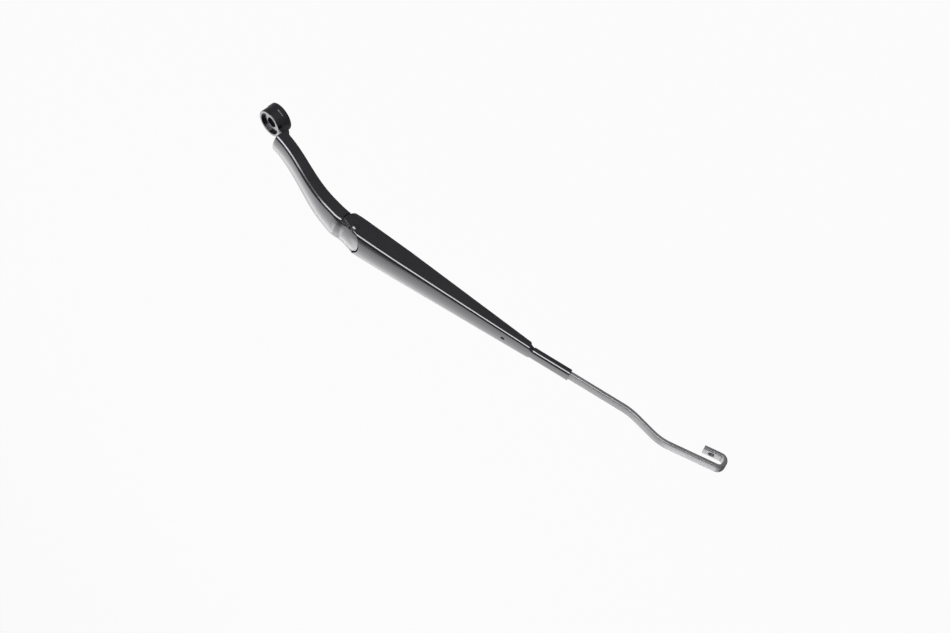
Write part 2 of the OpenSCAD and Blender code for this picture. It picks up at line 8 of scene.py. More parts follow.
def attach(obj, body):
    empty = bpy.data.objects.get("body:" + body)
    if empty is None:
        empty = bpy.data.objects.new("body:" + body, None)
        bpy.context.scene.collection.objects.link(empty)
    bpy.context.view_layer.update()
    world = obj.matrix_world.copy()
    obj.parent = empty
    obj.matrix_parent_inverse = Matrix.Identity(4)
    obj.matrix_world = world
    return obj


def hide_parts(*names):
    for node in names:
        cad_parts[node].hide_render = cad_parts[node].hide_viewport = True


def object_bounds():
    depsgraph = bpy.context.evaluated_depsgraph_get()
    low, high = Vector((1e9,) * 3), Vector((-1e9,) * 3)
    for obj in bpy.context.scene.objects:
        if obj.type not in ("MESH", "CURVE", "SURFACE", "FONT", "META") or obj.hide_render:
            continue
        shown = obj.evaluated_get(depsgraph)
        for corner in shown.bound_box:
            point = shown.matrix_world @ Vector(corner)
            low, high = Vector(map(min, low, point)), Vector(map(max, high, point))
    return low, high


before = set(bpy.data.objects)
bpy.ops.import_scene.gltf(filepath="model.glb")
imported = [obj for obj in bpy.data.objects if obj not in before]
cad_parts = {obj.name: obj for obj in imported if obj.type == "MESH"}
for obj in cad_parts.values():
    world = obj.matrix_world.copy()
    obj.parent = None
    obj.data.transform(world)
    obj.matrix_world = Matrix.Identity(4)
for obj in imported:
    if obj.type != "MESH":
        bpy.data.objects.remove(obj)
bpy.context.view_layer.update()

# Arm head. A zinc die casting: the boss that clamps on the wiper spindle, a narrow neck, and a
# hollow S-shaped body open below, with two cross ribs. Its end is a forked tongue for the hinge.
# Sizes in millimetres, in the frame of the spindle axis and the nut's seat.
MM = 0.001
boss_r = 11.25
recess_r = 9.1
recess_depth = 2.3
seat_t = 9.7
stud_hole_r = 4.2
stud_hole_len = 3
stud_chamfer = 0.2
taper_small_r = 4.7
taper_mouth_r = 5.4
collar_r = 11.7
collar_h = 4.5
collar_chamfer = 0.4
foot_chamfer = 0.3
rim_round = 0.35
rim_steps = 4
body_start = 14.5
neck_w = 19.4
line_start = 10.2
neck_wall_h = 9.7
mouth_wall_h = 10.9
head_rise = 9.7
rise_start = 18
rise_end = 84
crest_x = 87
foot_drop = 3.1
head_drop = 2.8
step_start = 93
step_end = 106
roof_fall = 0.05
roof_bend = 0.006
flare_start = 45
flare_end = 102
fork_start = 88
fork_end = 98
head_edge_r = 3
head_crown = 15
head_wall = 2.4
end_wall = 3
end_round = 0.8
end_steps = 5
ring_step = 1.5
web_end = 20
web_drop = 3.9
cheek_drop = 1.6
rib_places = (38, 62)
rib_t = 2
rib_lift = 4
rib_draft = 0.3
rib_clear = 0.2
hollow_open = 5
hollow_past = 20
pivot_x = 109.7
pivot_z = 12.2
arm_pitch = 18.5
mouth_w = 28
tongue_w = 23.8
cheek_w = 25.2
tongue_gap = 17
tongue_r = 8.8
pocket_r = 11.7
pocket_turn = 0.011
flange_pocket_r = 4.6
roof_z = 1.5
barrel_r = 11.2
barrel_bow = 18.8
barrel_half_w = 13
barrel_past = 4
nose_x = 9
nose_r = 18.4
bush_bore_r = 3.67
anchor_place = (-7.776, -3.433)
anchor_hole_r = 1.52
# Cutters are this much longer than any piece, and a hair keeps two faces out of one plane.
through = 80
hair = 0.01


def smooth(t):
    """0 to 1 along an S curve."""
    u = min(1, max(0, t))
    return u * u * (3 - 2 * u)


def mix(a, b, t):
    """From a to b as t goes from 0 to 1."""
    return a + (b - a) * t


def ramp(x, x0, x1):
    """0 up to x0, 1 from x1 on, straight in between."""
    return min(1, max(0, (x - x0) / (x1 - x0)))


def spread(start, end, step):
    """Places from start to end, evenly, no further apart than step."""
    count = max(1, round((end - start) / step))
    return [mix(start, end, i / count) for i in range(count + 1)]


def crown_rise(half_w, edge_r, crown):
    """How far a crown of this angle rises between its rounded edges."""
    return (half_w - edge_r + edge_r * sin(crown)) * tan(crown / 2) - edge_r * (1 - cos(crown))


def crowned(half_w, edge_r, crown_deg, edge, foot, edge_steps=9, crown_steps=18):
    """Section [y, z] with rounded upper edges, from the foot on +Y over the crowned top to -Y."""
    crown = radians(crown_deg)
    big_r = (half_w - edge_r + edge_r * sin(crown)) / sin(crown)
    top = edge + crown_rise(half_w, edge_r, crown)
    side = []
    for i in range(edge_steps + 1):
        a = mix(pi / 2, crown, i / edge_steps)
        side.append((half_w - edge_r + edge_r * sin(a), edge - edge_r + edge_r * cos(a)))
    back = []
    for i in range(1, crown_steps):
        a = mix(crown, -crown, i / crown_steps)
        back.append((big_r * sin(a), top - big_r * (1 - cos(a))))
    return [(half_w, foot)] + side + back + [(-y, z) for y, z in reversed(side)] + [(-half_w, foot)]


def loft(rings, place=Matrix()):
    """Closed skin through rings of equally many points, in millimetres, as an object."""
    made = bmesh.new()
    loops = [[made.verts.new(place @ Vector(p) * MM) for p in ring] for ring in rings]
    for a, b in zip(loops, loops[1:]):
        for i in range(len(a)):
            j = (i + 1) % len(a)
            made.faces.new((a[i], a[j], b[j], b[i]))
    made.faces.new(list(reversed(loops[0])))
    made.faces.new(loops[-1])
    return finished(made)


def finished(made):
    """The mesh that was built, with its faces turned outwards, as an object at the origin."""
    bmesh.ops.remove_doubles(made, verts=made.verts, dist=1e-8)
    bmesh.ops.recalc_face_normals(made, faces=made.faces)
    mesh = bpy.data.meshes.new("shape")
    made.to_mesh(mesh)
    made.free()
    shape = bpy.data.objects.new("shape", mesh)
    bpy.context.scene.collection.objects.link(shape)
    return shape


def turned(profile, place=Matrix(), count=96):
    """A closed outline [radius, height] turned about Z. Points on the axis become one vertex."""
    made = bmesh.new()
    loops = []
    for r, z in profile:
        if r < 1e-6:
            loops.append([made.verts.new(place @ Vector((0, 0, z)) * MM)] * count)
        else:
            loops.append([made.verts.new(place @ Vector((r * cos(t), r * sin(t), z)) * MM)
                          for t in (2 * pi * i / count for i in range(count))])
    for a, b in zip(loops, loops[1:] + loops[:1]):
        for i in range(count):
            j = (i + 1) % count
            corners = []
            for v in (a[i], a[j], b[j], b[i]):
                if v not in corners:
                    corners.append(v)
            if len(corners) > 2:
                made.faces.new(corners)
    return finished(made)


def drum(r, half_len, place, count=128):
    """A plain cylinder about Z, from -half_len to half_len."""
    return turned([(0, -half_len), (r, -half_len), (r, half_len), (0, half_len)], place, count)


def block(low, high, place=Matrix()):
    """A box between two corners."""
    ends = []
    for x in (low[0], high[0]):
        ends.append([(x, low[1], low[2]), (x, high[1], low[2]),
                     (x, high[1], high[2]), (x, low[1], high[2])])
    return loft(ends, place)


def carved(piece, tool, how="DIFFERENCE"):
    """piece cut by, joined with or kept inside tool, which is used up."""
    step = piece.modifiers.new("carve", "BOOLEAN")
    step.operation = how
    step.solver = "EXACT"
    step.object = tool
    bpy.context.view_layer.update()
    graph = bpy.context.evaluated_depsgraph_get()
    mesh = bpy.data.meshes.new_from_object(piece.evaluated_get(graph))
    piece.modifiers.clear()
    piece.data = mesh
    bpy.data.objects.remove(tool)
    return piece


def dressed(piece, name, material, sharp_deg=32):
    """Name, smooth shading up to the given angle, and the material in the only slot."""
    piece.name = name
    piece.data.name = name
    piece.data.materials.clear()
    piece.data.materials.append(material)
    for face in piece.data.polygons:
        face.material_index = 0
    piece.data.shade_smooth()
    piece.data.set_sharp_from_angle(angle=radians(sharp_deg))
    return piece


class Wire:
    """One output in a shader tree. Arithmetic on wires adds Math nodes."""

    def __init__(self, tree, socket):
        self.tree = tree
        self.socket = socket

    def node(self, kind, output=0, settings=(), sockets=()):
        """Any other node: its type, which output is wanted, its settings, then its sockets."""
        made = self.tree.nodes.new(kind)
        for name, value in dict(settings).items():
            setattr(made, name, value)
        for name, value in dict(sockets).items():
            if isinstance(value, Wire):
                self.tree.links.new(value.socket, made.inputs[name])
            else:
                made.inputs[name].default_value = value
        return Wire(self.tree, made.outputs[output])

    def maths(self, operation, a, b):
        return self.node("ShaderNodeMath", 0, {"operation": operation}, {0: a, 1: b})

    def __add__(self, other):
        return self.maths("ADD", self, other)

    def __radd__(self, other):
        return self.maths("ADD", other, self)

    def __sub__(self, other):
        return self.maths("SUBTRACT", self, other)

    def __rsub__(self, other):
        return self.maths("SUBTRACT", other, self)

    def __mul__(self, other):
        return self.maths("MULTIPLY", self, other)

    def __rmul__(self, other):
        return self.maths("MULTIPLY", other, self)

    def noise(self, scale, detail=2.0, stretch=(1, 1, 1)):
        """Noise from 0 to 1 on the piece's own coordinates, scale in cells per metre."""
        place = self.node("ShaderNodeTexCoord", "Object")
        laid = self.node("ShaderNodeMapping", 0, {}, {"Vector": place, "Scale": stretch})
        return self.node("ShaderNodeTexNoise", 0, {},
                         {"Vector": laid, "Scale": scale, "Detail": detail})

    def between(self, low, high):
        """0 below low, 1 above high, smooth in between."""
        return self.node("ShaderNodeMapRange", 0, {"interpolation_type": "SMOOTHSTEP"},
                         {"Value": self, "From Min": low, "From Max": high})

    def blend(self, first, second):
        """first where this is 0, second where it is 1."""
        made = self.tree.nodes.new("ShaderNodeMix")
        made.data_type = "RGBA"
        self.tree.links.new(self.socket, made.inputs["Factor"])
        for name, value in ((6, first), (7, second)):
            if isinstance(value, Wire):
                self.tree.links.new(value.socket, made.inputs[name])
            else:
                made.inputs[name].default_value = (*value, 1)
        return Wire(self.tree, made.outputs[2])


def new_material(name):
    """A material with one Principled shader, and a wire to start its tree from."""
    made = bpy.data.materials.new(name)
    made.use_nodes = True
    tree = made.node_tree
    shader = tree.nodes["Principled BSDF"]
    return made, shader, Wire(tree, shader.outputs[0])


def plug(shader, **wires):
    """Wires and plain values into a shader's sockets, named with _ for a space."""
    for name, value in wires.items():
        socket = shader.inputs[name.replace("_", " ")]
        if isinstance(value, Wire):
            value.tree.links.new(value.socket, socket)
        else:
            socket.default_value = value


def softened(start, radius_mm):
    """The surface's normal with every edge rounded off by a small radius."""
    return start.node("ShaderNodeBevel", 0, {"samples": 6}, {"Radius": radius_mm * MM})


def edge_share(start, soft):
    """0 on plain surfaces, rising towards 1 on the edges."""
    plain = start.node("ShaderNodeNewGeometry", "Normal")
    along = start.node("ShaderNodeVectorMath", "Value", {"operation": "DOT_PRODUCT"},
                       {0: soft, 1: plain})
    return (1 - along).between(0.01, 0.2)


def gloss_paint(name, peel, peel_scale):
    """Black stoving enamel. It flows out nearly smooth, with a faint orange peel, fine dust
    nibs, some duller wiped places, and a few worn places on the sharpest edges."""
    made, shader, start = new_material(name)
    soft = softened(start, 0.3)
    worn = edge_share(start, soft) * start.noise(420, 4).between(0.62, 0.85)
    wiped = start.noise(38, 3).between(0.45, 0.75)
    nibs = start.noise(1900, 1).between(0.73, 0.8)
    black = wiped.blend((0.004, 0.004, 0.005), (0.006, 0.006, 0.007))
    colour = worn.blend(black, (0.04, 0.04, 0.042))
    height = start.noise(peel_scale, 2) + start.noise(peel_scale * 0.31, 1) * 1.6 + nibs * 0.3
    bumped = start.node("ShaderNodeBump", 0, {},
                        {"Height": height, "Normal": soft, "Strength": 1.0, "Distance": peel * MM})
    plug(shader, Base_Color=colour, Roughness=wiped * 0.03 + worn * 0.05 + 0.17, Normal=bumped,
         IOR=1.5, Specular_Tint=(0.95, 0.93, 1, 1))
    return made


def head_half(x):
    """Half the casting's width."""
    return mix(neck_w, mouth_w, smooth(ramp(x, flare_start, flare_end))) / 2


def head_line(x):
    """The S curve that the top and the foot both follow."""
    return line_start + head_rise * smooth(ramp(x, rise_start, rise_end))


def head_edge(x):
    """The top's height at its edges, with the step down under the channel's back."""
    past = max(0, x - step_end)
    step = head_drop * smooth(ramp(x, step_start, step_end))
    return head_line(x) - step - past * (roof_fall + roof_bend * past)


def head_foot(x):
    """The height at which the side walls end."""
    fallen = foot_drop * (max(0, x - crest_x) / (pivot_x - crest_x)) ** 2
    wall_h = mix(neck_wall_h, mouth_wall_h, ramp(x, web_end, rise_end))
    web = web_drop * (max(0, web_end - x) / (web_end - body_start)) ** 1.3
    cheek = cheek_drop * smooth(ramp(x, fork_end, flare_end))
    return head_line(x) - fallen - wall_h - web - cheek


def hollow_half(x):
    """Half the hollow's width. It narrows to the gap of the fork."""
    return mix(head_half(x) - head_wall, tongue_gap / 2, smooth(ramp(x, fork_start, fork_end)))


def hollow_roof(x):
    """The hollow's height: up to the skin, or to the foot of a rib."""
    over_rib = min(abs(x - place) for place in rib_places) < rib_t / 2 + hair
    return head_foot(x) + rib_lift if over_rib else head_edge(x) - head_wall


on_arm = Matrix.Translation((pivot_x, 0, pivot_z)) @ Matrix.Rotation(radians(arm_pitch), 4, "Y")
at_hinge = Matrix.Translation((pivot_x, 0, pivot_z))
across = Matrix.Rotation(radians(90), 4, "X")

body_rings = []
for i in range(end_steps):
    t = radians(90 * i / end_steps)
    x = body_start + end_round * (1 - cos(t))
    inset = end_round * (1 - sin(t))
    section = crowned(head_half(x) - inset, head_edge_r, head_crown,
                      head_edge(x) - inset, head_foot(x) + inset)
    body_rings.append([(x, y, z) for y, z in section])
for x in spread(body_start + end_round, pivot_x + barrel_r + barrel_past, ring_step):
    section = crowned(head_half(x), head_edge_r, head_crown, head_edge(x), head_foot(x))
    body_rings.append([(x, y, z) for y, z in section])
head = loft(body_rings)

hollow_end = pivot_x + tongue_r + hollow_past
hollow_xs = set(spread(body_start + end_wall, hollow_end, ring_step))
for place in rib_places:
    hollow_xs = {x for x in hollow_xs if abs(x - place) > rib_t / 2 + rib_draft + rib_clear}
    for side in (-1, 1):
        hollow_xs |= {place + side * rib_t / 2, place + side * (rib_t / 2 + rib_draft)}
hollow_rings = []
for x in sorted(hollow_xs):
    section = crowned(hollow_half(x), head_edge_r - head_wall / 2, head_crown,
                      hollow_roof(x), head_foot(x) - hollow_open)
    hollow_rings.append([(x, y, z) for y, z in section])
carved(head, loft(hollow_rings))

# On each side a pocket for the channel's lobe, with a shallow seat for the bush's flange. The
# cutter is turned a little, so that none of its corners falls on one of the casting's.
for side in (1, -1):
    pocket = [(0, tongue_w), (flange_pocket_r, tongue_w), (flange_pocket_r, cheek_w),
              (pocket_r, cheek_w), (pocket_r, through), (0, through)]
    place = at_hinge @ Matrix.Rotation(pocket_turn, 4, "Y") @ across
    carved(head, turned([(r, side * w / 2) for r, w in pocket], place, 128))
beyond_cheeks = carved(block((0, -through / 2, -through), (through, through / 2, roof_z), at_hinge),
                       drum(tongue_r, through, at_hinge @ across))
carved(head, beyond_cheeks)
# The roof over the hinge is a bowed barrel, and the end of the tongue a round nose.
barrel = [(barrel_r - barrel_bow + sqrt(barrel_bow ** 2 - y ** 2), y)
          for y in spread(-barrel_half_w, barrel_half_w, 1)]
barrel = [(0, -barrel_half_w)] + barrel + [(0, barrel_half_w)]
cut_half = through / 2
beyond_roof = carved(block((hair, -cut_half, -cut_half), (through, cut_half, cut_half), at_hinge),
                     turned(barrel, at_hinge @ across, 126))
carved(head, beyond_roof)
nose_place = on_arm @ Matrix.Translation((nose_x - nose_r, 0, 0))
beyond_nose = carved(block((0, -cut_half, -cut_half), (through, cut_half, cut_half), on_arm),
                     drum(nose_r, through, nose_place, 192))
carved(head, beyond_nose)

# The neck's sides run into the boss in a wide fillet. Its foot climbs towards the body.
neck_half = 5
neck_fillet = 3
neck_foot_low = -8.4
neck_foot_high = -3.4
neck_climb = (8, 16)
neck_inset = 0.02
fillet_before = 1.2
fillet_step = 0.3
# The top edge's rounding, as [inset from the side, drop from the top].
neck_rounding = [(0, 0.6), (0.18, 0.18), (0.6, 0)]
fillet_x = sqrt((boss_r + neck_fillet) ** 2 - (neck_half + neck_fillet) ** 2)
fillet_start = boss_r / (boss_r + neck_fillet) * fillet_x
neck_rings = []
neck_xs = spread(fillet_start - fillet_before, fillet_x, fillet_step)
neck_xs += spread(fillet_x + 2 * fillet_step, body_start + end_wall / 2, 1)
for x in neck_xs:
    gap = max(0, fillet_x - x)
    half = neck_half + neck_fillet - sqrt(max(0, neck_fillet ** 2 - gap ** 2))
    if x < fillet_start:
        half = sqrt(boss_r ** 2 - x ** 2) - neck_inset
    foot = mix(neck_foot_low, neck_foot_high, smooth(ramp(x, *neck_climb)))
    side = [(half, foot)] + [(half - inset, recess_depth - drop) for inset, drop in neck_rounding]
    neck_rings.append([(x, y, z) for y, z in side] + [(x, -y, z) for y, z in reversed(side)])
carved(head, loft(neck_rings), "UNION")

boss_profile = [(taper_mouth_r, -seat_t), (taper_small_r, -stud_hole_len),
                (stud_hole_r, -stud_hole_len), (stud_hole_r, -stud_chamfer),
                (stud_hole_r + stud_chamfer, 0), (recess_r, 0),
                (recess_r, recess_depth - rim_round)]
for i in range(1, rim_steps + 1):
    t = radians(90 * i / rim_steps)
    boss_profile.append((recess_r + rim_round * (1 - cos(t)),
                         recess_depth - rim_round * (1 - sin(t))))
for i in range(rim_steps + 1):
    t = radians(90 * i / rim_steps)
    boss_profile.append((boss_r - rim_round * (1 - sin(t)),
                         recess_depth - rim_round * (1 - cos(t))))
collar_z = collar_h - seat_t
boss_profile += [(boss_r, collar_z), (collar_r, collar_z - collar_chamfer),
                 (collar_r, foot_chamfer - seat_t), (collar_r - foot_chamfer, -seat_t)]
carved(head, drum(recess_r + 1, through, Matrix(), 96))
carved(head, turned(boss_profile), "UNION")
carved(head, drum(bush_bore_r, through, at_hinge @ across, 64))
on_anchor = on_arm @ Matrix.Translation((anchor_place[0], 0, anchor_place[1]))
carved(head, drum(anchor_hole_r, through, on_anchor @ across, 48))

head_paint = gloss_paint("head_enamel", 0.006, 420)
dressed(head, "arm_head_casting", head_paint)
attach(head, "head")
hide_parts("arm_head")

# Hinge bushes. Two flanged sintered bronze bushes pressed into the tongue's cheeks. Their
# flanges keep the channel's walls off the casting. The metal is oily and slightly porous.
bronze, shader, start = new_material("sintered_bronze")
pores = start.noise(5200, 2).between(0.56, 0.66)
tarnish = start.noise(330, 3).between(0.35, 0.8)
oiled = tarnish.blend((0.034, 0.03, 0.025), (0.024, 0.021, 0.018))
colour = pores.blend(oiled, (0.015, 0.012, 0.01))
pitted = start.node("ShaderNodeBump", 0, {}, {"Height": 1 - pores, "Normal": softened(start, 0.15),
                                              "Strength": 0.6, "Distance": 0.02 * MM})
plug(shader, Base_Color=colour, Metallic=1.0, Normal=pitted,
     Roughness=tarnish * 0.15 + pores * 0.2 + 0.3)
for name in ("pivot_bush_near", "pivot_bush_far"):
    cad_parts[name].data.materials.clear()
    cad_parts[name].data.materials.append(bronze)

# Anchor pin and spring link. A ground steel pin crosses the head behind the hinge, and a
# stamped C-shaped link goes from it round under the rivet to the spring. Both are zinc plated.


def zinc_plate(name, tone, grain_stretch):
    """Bright zinc on steel: faint rolling lines, cloudy passivation and small dull spots."""
    made, shader, start = new_material(name)
    clouds = start.noise(160, 4).between(0.3, 0.75)
    lines = start.noise(900, 2, grain_stretch)
    spots = start.noise(1400, 1).between(0.7, 0.76)
    zinc = clouds.blend((tone, tone, tone * 1.02), (tone * 0.82, tone * 0.83, tone * 0.85))
    colour = spots.blend(zinc, (tone * 0.45, tone * 0.44, tone * 0.42))
    bumped = start.node("ShaderNodeBump", 0, {}, {"Height": lines, "Normal": softened(start, 0.2),
                                                  "Strength": 0.4, "Distance": 0.01 * MM})
    plug(shader, Base_Color=colour, Metallic=1.0, Normal=bumped,
         Roughness=clouds * 0.12 + spots * 0.2 + 0.24)
    return made


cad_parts["anchor_pin"].data.materials.clear()
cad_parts["anchor_pin"].data.materials.append(zinc_plate("pin_zinc", 0.56, (1, 0.05, 1)))
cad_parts["spring_link"].data.materials.clear()
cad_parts["spring_link"].data.materials.append(zinc_plate("link_zinc", 0.5, (1, 1, 12)))

# Retainer channel. One pressing of 1.2 mm sheet: lobes round the hinge, a crowned back with
# rounded edges, walls that taper to nothing, and a last stretch closed round the rod with a
# seam below. A stake pins the rod. It has the same black enamel as the head.
# Lengths run from the hinge axis, along the channel.
channel_w = 28
channel_tip_w = 14.8
sheet_t = 1.2
channel_top = 8.75
front_droop = 0.8
skirt_front = 9.4
skirt_mid = 6.6
skirt_end = 2.8
back_start = 4.6
skirt_kink = 45
wall_end = 157
lobe_r = 10.9
lobe_lip_front = -0.5
lobe_lip_back = 5.7
edge_r_front = 2.5
edge_r_tip = 2
back_crown = 13
tip_crown = 5
flat_crown = 1
nose_gap = 0.4
wall_corner_r = 1.5
notch_len = 1.5
crimp_start = 160.5
crimp_len = 32
crimp_w = 11.5
crimp_h = 5.5
crimp_edge_r = 2.25
rod_z = 5.95
notch_z = 4.75
seam_inset = 0.02
seam_lap = 1
seam_gap = 0.8
section_step = 2
fine_step = 0.25
front_side_gap = 0.05
stake_x = 136
stake_r = 1.6
stake_foot = 6.25
stake_top = 8
dimple_r = 2.2
rivet_hole_r = 2.52


def past_wall(x):
    """0 where the walls stand open, 1 where the sheet is closed round the rod."""
    return smooth(ramp(x, wall_end, crimp_start))


def channel_ring(x):
    """The sheet's section at x: over the outside, then back along the inside."""
    past = past_wall(x)
    along = ramp(x, 0, wall_end)
    open_w = mix(channel_w, channel_tip_w, ramp(x, back_start, wall_end))
    half_w = mix(open_w, crimp_w - 2 * seam_inset, past) / 2
    edge_r = mix(mix(edge_r_front, edge_r_tip, along), crimp_edge_r - seam_inset, past)
    crown = mix(mix(back_crown, tip_crown, along), flat_crown, past)
    top = channel_top - front_droop * (1 - ramp(x, 0, skirt_kink)) ** 2
    top = mix(top, rod_z + crimp_h / 2 - seam_inset, past)
    edge = top - crown_rise(half_w, edge_r, radians(crown))
    t = sheet_t - 2 * seam_inset * past
    foot = -skirt_front - sheet_t
    outside = crowned(half_w, edge_r, crown, edge, foot)
    inside = crowned(half_w - t, edge_r - t, crown, edge - t, foot)
    return [(x, y, z) for y, z in outside + inside[::-1]]


def side_cut(outline):
    """A side view outline [x, z] on the arm, as a solid right across it."""
    ends = [[(x, y, z) for x, z in outline] for y in (-through / 2, through / 2)]
    return loft(ends, on_arm)


lip_turn = pi - asin(lobe_lip_front / lobe_r)
skirt_turn = 1.5 * pi - acos(skirt_front / lobe_r)
lobe = [(lobe_r * cos(a), lobe_r * sin(a)) for a in spread(lip_turn, skirt_turn, 0.06)]
corner = [(wall_end - wall_corner_r * (1 - cos(a)), skirt_end + wall_corner_r * (1 + sin(a)))
          for a in spread(-pi / 2, 0, 0.15)]
outline = [(back_start, through), (back_start, lobe_lip_back)] + lobe
outline += [(0, -skirt_front), (skirt_kink, -skirt_mid)] + corner
outline_end = crimp_start + 2 * seam_lap
outline += [(wall_end + notch_len, notch_z), (outline_end, notch_z), (outline_end, through)]
channel_xs = spread(-lobe_r - 1, wall_end, section_step)
channel_xs += spread(wall_end + fine_step, crimp_start, fine_step)
channel_xs.append(crimp_start + seam_lap)
channel = loft([channel_ring(x) for x in channel_xs], on_arm)
carved(channel, side_cut(outline), "INTERSECT")


def rounded(w, h, r, steps=8):
    """Closed section [y, z] of a flat bar, from its lower middle round over +Y."""
    points = []
    for centre_y, centre_z, start in ((w / 2 - r, r - h / 2, -90), (w / 2 - r, h / 2 - r, 0),
                                      (r - w / 2, h / 2 - r, 90), (r - w / 2, r - h / 2, 180)):
        for i in range(steps + 1):
            a = radians(start + 90 * i / steps)
            points.append((centre_y + r * cos(a), centre_z + r * sin(a)))
    return points


outer = rounded(crimp_w, crimp_h, crimp_edge_r)
inner = rounded(crimp_w - 2 * sheet_t, crimp_h - 2 * sheet_t, crimp_edge_r - sheet_t)
seam_low = -crimp_h / 2
seam_high = sheet_t - crimp_h / 2
seam = ([(seam_gap / 2, seam_low)] + outer + [(-seam_gap / 2, seam_low), (-seam_gap / 2, seam_high)]
        + inner[::-1] + [(seam_gap / 2, seam_high)])
crimp_ends = (crimp_start, crimp_start + crimp_len)
crimp = loft([[(x, y, rod_z + z) for y, z in seam] for x in crimp_ends], on_arm)
carved(channel, crimp, "UNION")
stake = on_arm @ Matrix.Translation((stake_x, 0, 0))
stake_pin = [(0, stake_foot), (stake_r, stake_foot), (stake_r, stake_top), (0, stake_top)]
carved(channel, turned(stake_pin, stake, 64), "UNION")
# The back's front edge follows the head's nose, with a little air. The lobes stay whole.
front_place = on_arm @ Matrix.Translation((nose_x + nose_gap - nose_r, 0, 0))
between_walls = block((-through, front_side_gap + sheet_t - channel_w / 2, 0),
                      (through, channel_w / 2 - sheet_t - front_side_gap, through), on_arm)
front = carved(drum(nose_r, through, front_place, 192), between_walls, "INTERSECT")
carved(channel, front)
carved(channel, drum(rivet_hole_r, through, at_hinge @ across, 64))
ball = [(dimple_r * cos(a), dimple_r * sin(a)) for a in spread(-pi / 2, pi / 2, 0.1)]
ball[0] = (0, -dimple_r)
ball[-1] = (0, dimple_r)
carved(channel, turned(ball, stake @ Matrix.Translation((0, 0, channel_top + sheet_t)), 64))

channel_paint = gloss_paint("channel_enamel", 0.003, 380)
dressed(channel, "retainer_channel_pressing", channel_paint)
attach(channel, "arm")
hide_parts("retainer_channel")

# Rod. A flat bar of 9 by 3 mm steel with rounded edges, joggled at its inner end, bent twice,
# and turned back into the blade's hook. Its satin coat is thinner and greyer than the enamel.
rod_w = 9
rod_t = 3
rod_edge_r = 1
rod_start = 97.8
rod_inner_z = 2.35
rod_inner_len = 9.2
joggle = 25
joggle_r = 6
joggle_drop = 3.6
bend_up_x = 245
bend_up = 15.5
bend_up_r = 50
bend_gap = 31
bend_down = 22.7
bend_down_r = 40
tip_len = 51.8
hook_h = 12.9
hook_len = 20
spring_hole_at = 5
spring_hole_r = 2
stake_play = 0.1
hook_hole_r = 2.5
hook_hole_inset = 6.8
arc_step = 4

joggle_run = (joggle_drop - 2 * joggle_r * (1 - cos(radians(joggle)))) / sin(radians(joggle))
joggle_end = (rod_start + rod_inner_len + 2 * joggle_r * sin(radians(joggle))
              + joggle_run * cos(radians(joggle)))
up_tangent = bend_up_r * tan(radians(bend_up / 2))
down_tangent = bend_down_r * tan(radians(bend_down / 2))
# Each step is a straight length, or an angle and its radius. Positive angles turn upwards.
rod_steps = [(rod_inner_len, 0, 0), (0, joggle, joggle_r),
             (joggle_run, 0, 0), (0, -joggle, joggle_r),
             (bend_up_x - up_tangent - joggle_end, 0, 0), (0, bend_up, bend_up_r),
             (bend_gap - up_tangent - down_tangent, 0, 0), (0, -bend_down, bend_down_r),
             (tip_len - down_tangent - hook_h / 2, 0, 0), (0, -180, (hook_h - rod_t) / 2),
             (hook_len - hook_h / 2, 0, 0)]
x, z, heading = rod_start, rod_inner_z, 0
rod_path = [(x, 0, z)]
for length, angle, radius in rod_steps:
    if angle == 0:
        x += length * cos(radians(heading))
        z += length * sin(radians(heading))
        rod_path.append((x, 0, z))
        continue
    count = max(2, round(abs(angle) / arc_step))
    turn = radians(angle / count)
    for i in range(count):
        chord = 2 * radius * abs(sin(turn / 2))
        way = radians(heading) + turn / 2
        x += chord * cos(way)
        z += chord * sin(way)
        heading += angle / count
        rod_path.append((x, 0, z))
leg_end = Matrix.Translation((x, 0, z)) @ Matrix.Rotation(radians(-heading), 4, "Y")


def path_object(points, place):
    """One open line through points, in millimetres."""
    curve = bpy.data.curves.new("path", "CURVE")
    curve.dimensions = "3D"
    line = curve.splines.new("POLY")
    line.points.add(len(points) - 1)
    for target, p in zip(line.points, points):
        target.co = (*(place @ Vector(p) * MM), 1)
    made = bpy.data.objects.new("path", curve)
    bpy.context.scene.collection.objects.link(made)
    return made


def bar_tree():
    """Geometry nodes that sweep a flat bar's rounded section along a line."""
    tree = bpy.data.node_groups.new("flat_bar", "GeometryNodeTree")
    tree.interface.new_socket("Geometry", in_out="INPUT", socket_type="NodeSocketGeometry")
    for name in ("Width", "Thickness", "Edge radius"):
        tree.interface.new_socket(name, in_out="INPUT", socket_type="NodeSocketFloat")
    tree.interface.new_socket("Material", in_out="INPUT", socket_type="NodeSocketMaterial")
    tree.interface.new_socket("Geometry", in_out="OUTPUT", socket_type="NodeSocketGeometry")
    given = tree.nodes.new("NodeGroupInput")
    section = tree.nodes.new("GeometryNodeCurvePrimitiveQuadrilateral")
    tree.links.new(given.outputs["Width"], section.inputs["Width"])
    tree.links.new(given.outputs["Thickness"], section.inputs["Height"])
    corners = tree.nodes.new("GeometryNodeFilletCurve")
    corners.mode = "POLY"
    corners.inputs["Count"].default_value = 6
    tree.links.new(section.outputs[0], corners.inputs["Curve"])
    tree.links.new(given.outputs["Edge radius"], corners.inputs["Radius"])
    sweep = tree.nodes.new("GeometryNodeCurveToMesh")
    sweep.inputs["Fill Caps"].default_value = True
    tree.links.new(given.outputs["Geometry"], sweep.inputs["Curve"])
    tree.links.new(corners.outputs[0], sweep.inputs["Profile Curve"])
    finish_tree(tree, given, sweep)
    return tree


